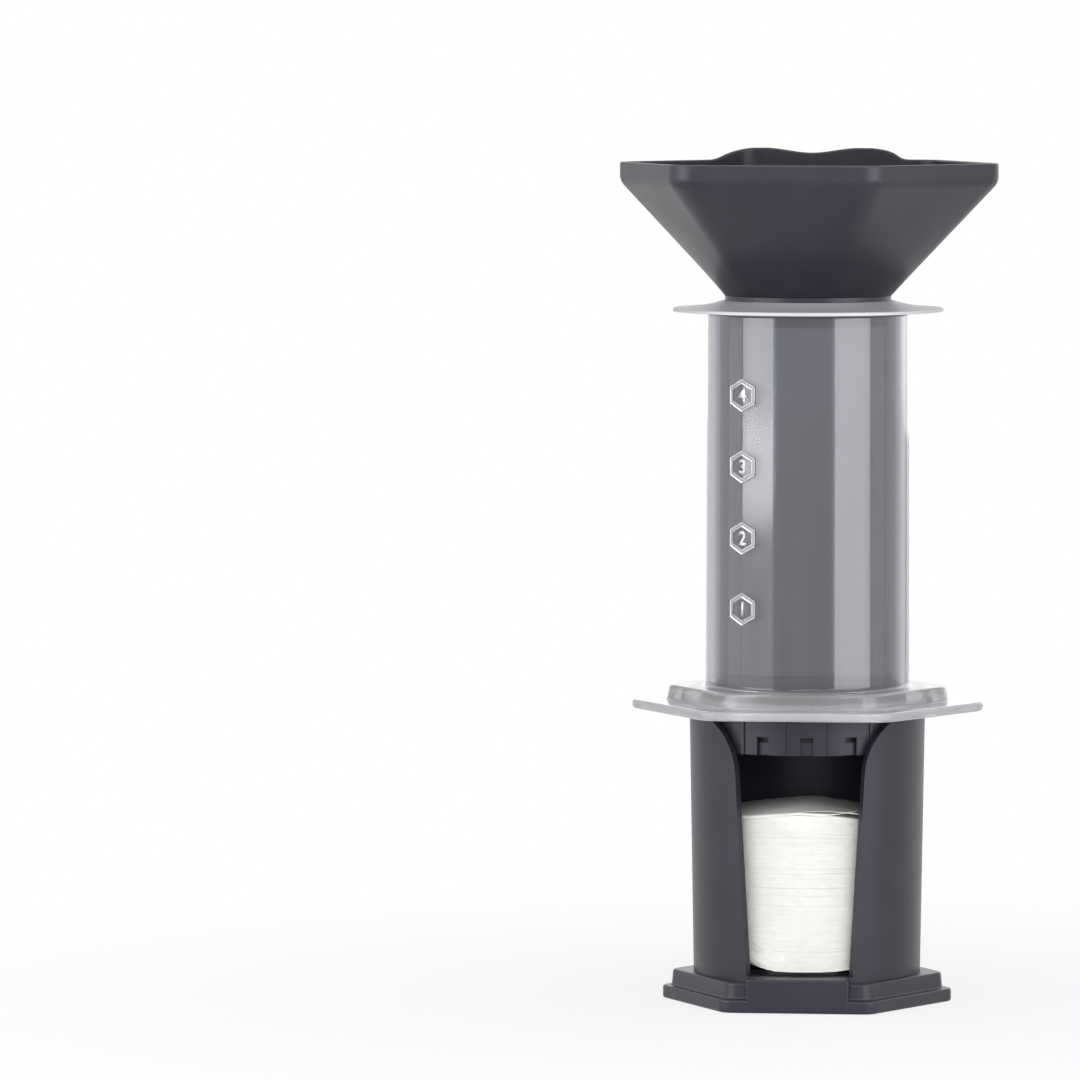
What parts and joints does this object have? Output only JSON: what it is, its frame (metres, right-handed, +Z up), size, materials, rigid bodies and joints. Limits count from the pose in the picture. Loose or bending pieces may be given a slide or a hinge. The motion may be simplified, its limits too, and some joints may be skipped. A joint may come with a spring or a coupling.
{
  "type": "coffee press",
  "caption": "Hand coffee press: a smoky tube with a sliding plunger and a twist-on filter cap, standing on a holder for paper filters, with a six-sided filling funnel on top.",
  "frame": {"origin": "middle of the holder foot's underside, on the table", "axes": "+Z up along the plunger's axis, -Y the front, where the holder's window is"},
  "size_m": [0.1234, 0.1166, 0.275],
  "materials": {
    "charcoal_plastic": "satin",
    "smoke_plastic": "glossy",
    "seal_rubber": "matte",
    "filter_paper": "matte"
  },
  "bodies": {
    "holder": {"filter_holder": "charcoal_plastic"},
    "papers": {"paper_filter_stack": "filter_paper", "loose_paper_filters": "filter_paper"},
    "chamber": {"brew_chamber": "smoke_plastic"},
    "cap": {"filter_cap": "charcoal_plastic", "seated_paper_filter": "filter_paper"},
    "plunger": {"plunger_tube": "smoke_plastic", "plunger_seal": "seal_rubber"},
    "funnel": {"funnel": "charcoal_plastic"}
  },
  "joints": [
    {"name": "press_lift", "type": "slide", "parent": "holder", "child": "chamber", "axis": [0, 0, 1], "range_m": [0, 0.06]},
    {"name": "papers_lift", "type": "slide", "parent": "holder", "child": "papers", "axis": [0, 0, 1], "range_m": [0, 0.012]},
    {"name": "cap_twist", "type": "hinge", "parent": "chamber", "child": "cap", "pos_m": [0, 0, 0.088], "axis": [0, 0, -1], "range_deg": [0, 45]},
    {"name": "plunger_slide", "type": "slide", "parent": "chamber", "child": "plunger", "axis": [0, 0, 1], "range_m": [0, 0.11]},
    {"name": "funnel_lift", "type": "slide", "parent": "plunger", "child": "funnel", "axis": [0, 0, 1], "range_m": [0, 0.04]}
  ]
}
